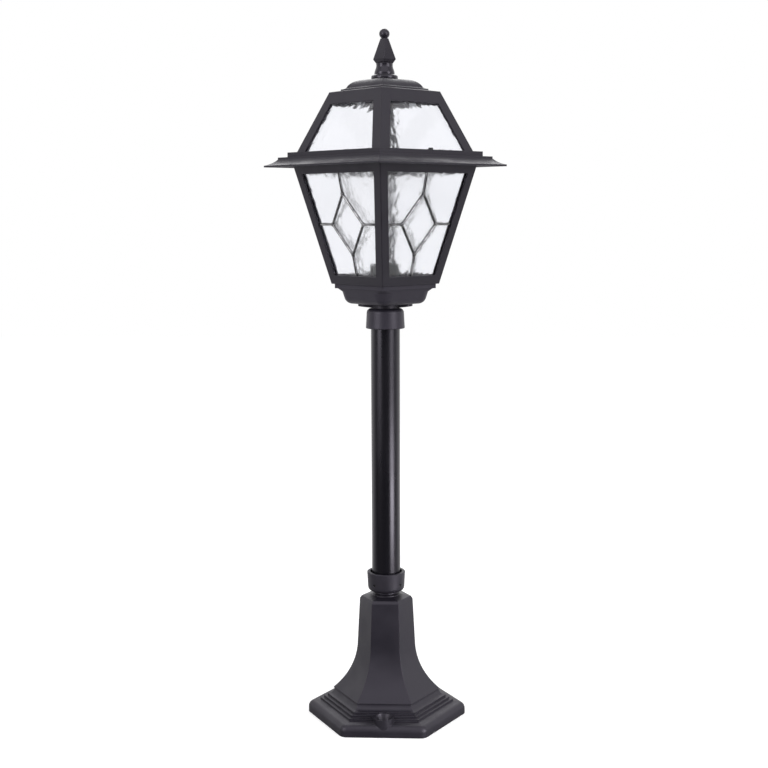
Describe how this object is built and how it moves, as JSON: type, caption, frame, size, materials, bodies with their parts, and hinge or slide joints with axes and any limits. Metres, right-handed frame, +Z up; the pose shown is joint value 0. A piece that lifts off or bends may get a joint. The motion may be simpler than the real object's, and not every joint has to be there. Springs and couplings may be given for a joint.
{
  "type": "post lamp",
  "caption": "Outdoor post lamp: flared hexagonal foot, round post and a tapered square lantern with leaded glass panes under a lift-off glazed roof with a pointed finial.",
  "frame": {"origin": "on the ground plane at the post's axis", "axes": "+Z up the post, -Y towards the front flat of the foot and the front corner of the lantern, +X to the right"},
  "size_m": [0.347, 0.347, 1.0019],
  "materials": {
    "cast_black": "satin black powder coat on cast aluminium",
    "tube_black": "satin black powder coat on a drawn tube",
    "black_screws": "black oxide",
    "steel": "zinc plated",
    "water_glass": "clear water glass with an uneven surface",
    "lead": "dull lead strip",
    "holder_plastic": "moulded black",
    "brass": "plain brass",
    "gasket_rubber": "matt black",
    "terminal_plastic": "moulded off-white"
  },
  "bodies": {
    "stand": {"base": "cast_black", "base_plug": "steel", "base_plug_nut": "steel", "lower_collar": "cast_black", "lower_grub_screws": "black_screws", "post": "tube_black", "upper_collar": "cast_black", "upper_grub_screws": "black_screws", "head_plug": "steel", "head_plug_nut": "steel", "head_plate": "cast_black", "plate_screws": "black_screws", "bowl": "cast_black", "holder_strap": "steel", "strap_screws": "steel", "lampholder_body": "holder_plastic", "lampholder_shell": "brass", "lampholder_contact": "brass", "cage": "cast_black", "cage_screws": "steel", "roof_gasket": "gasket_rubber", "terminal_bracket": "steel", "bracket_screws": "steel", "terminal_block": "terminal_plastic", "terminal_screws": "brass", "earth_screw": "brass", "cage_glass_front_left": "water_glass", "cage_came_front_left": "lead", "cage_glass_front_right": "water_glass", "cage_came_front_right": "lead", "cage_glass_back_right": "water_glass", "cage_came_back_right": "lead", "cage_glass_back_left": "water_glass", "cage_came_back_left": "lead"},
    "roof": {"roof": "cast_black", "roof_glass_front_left": "water_glass", "roof_glass_front_right": "water_glass", "roof_glass_back_right": "water_glass", "roof_glass_back_left": "water_glass", "glass_clips": "steel", "clip_screws": "steel", "roof_screws": "black_screws", "finial": "cast_black", "finial_nut": "steel"}
  },
  "joints": [
    {"name": "roof_lift", "type": "slide", "parent": "stand", "child": "roof", "axis": [0, 0, 1], "range_m": [0, 0.2]}
  ]
}
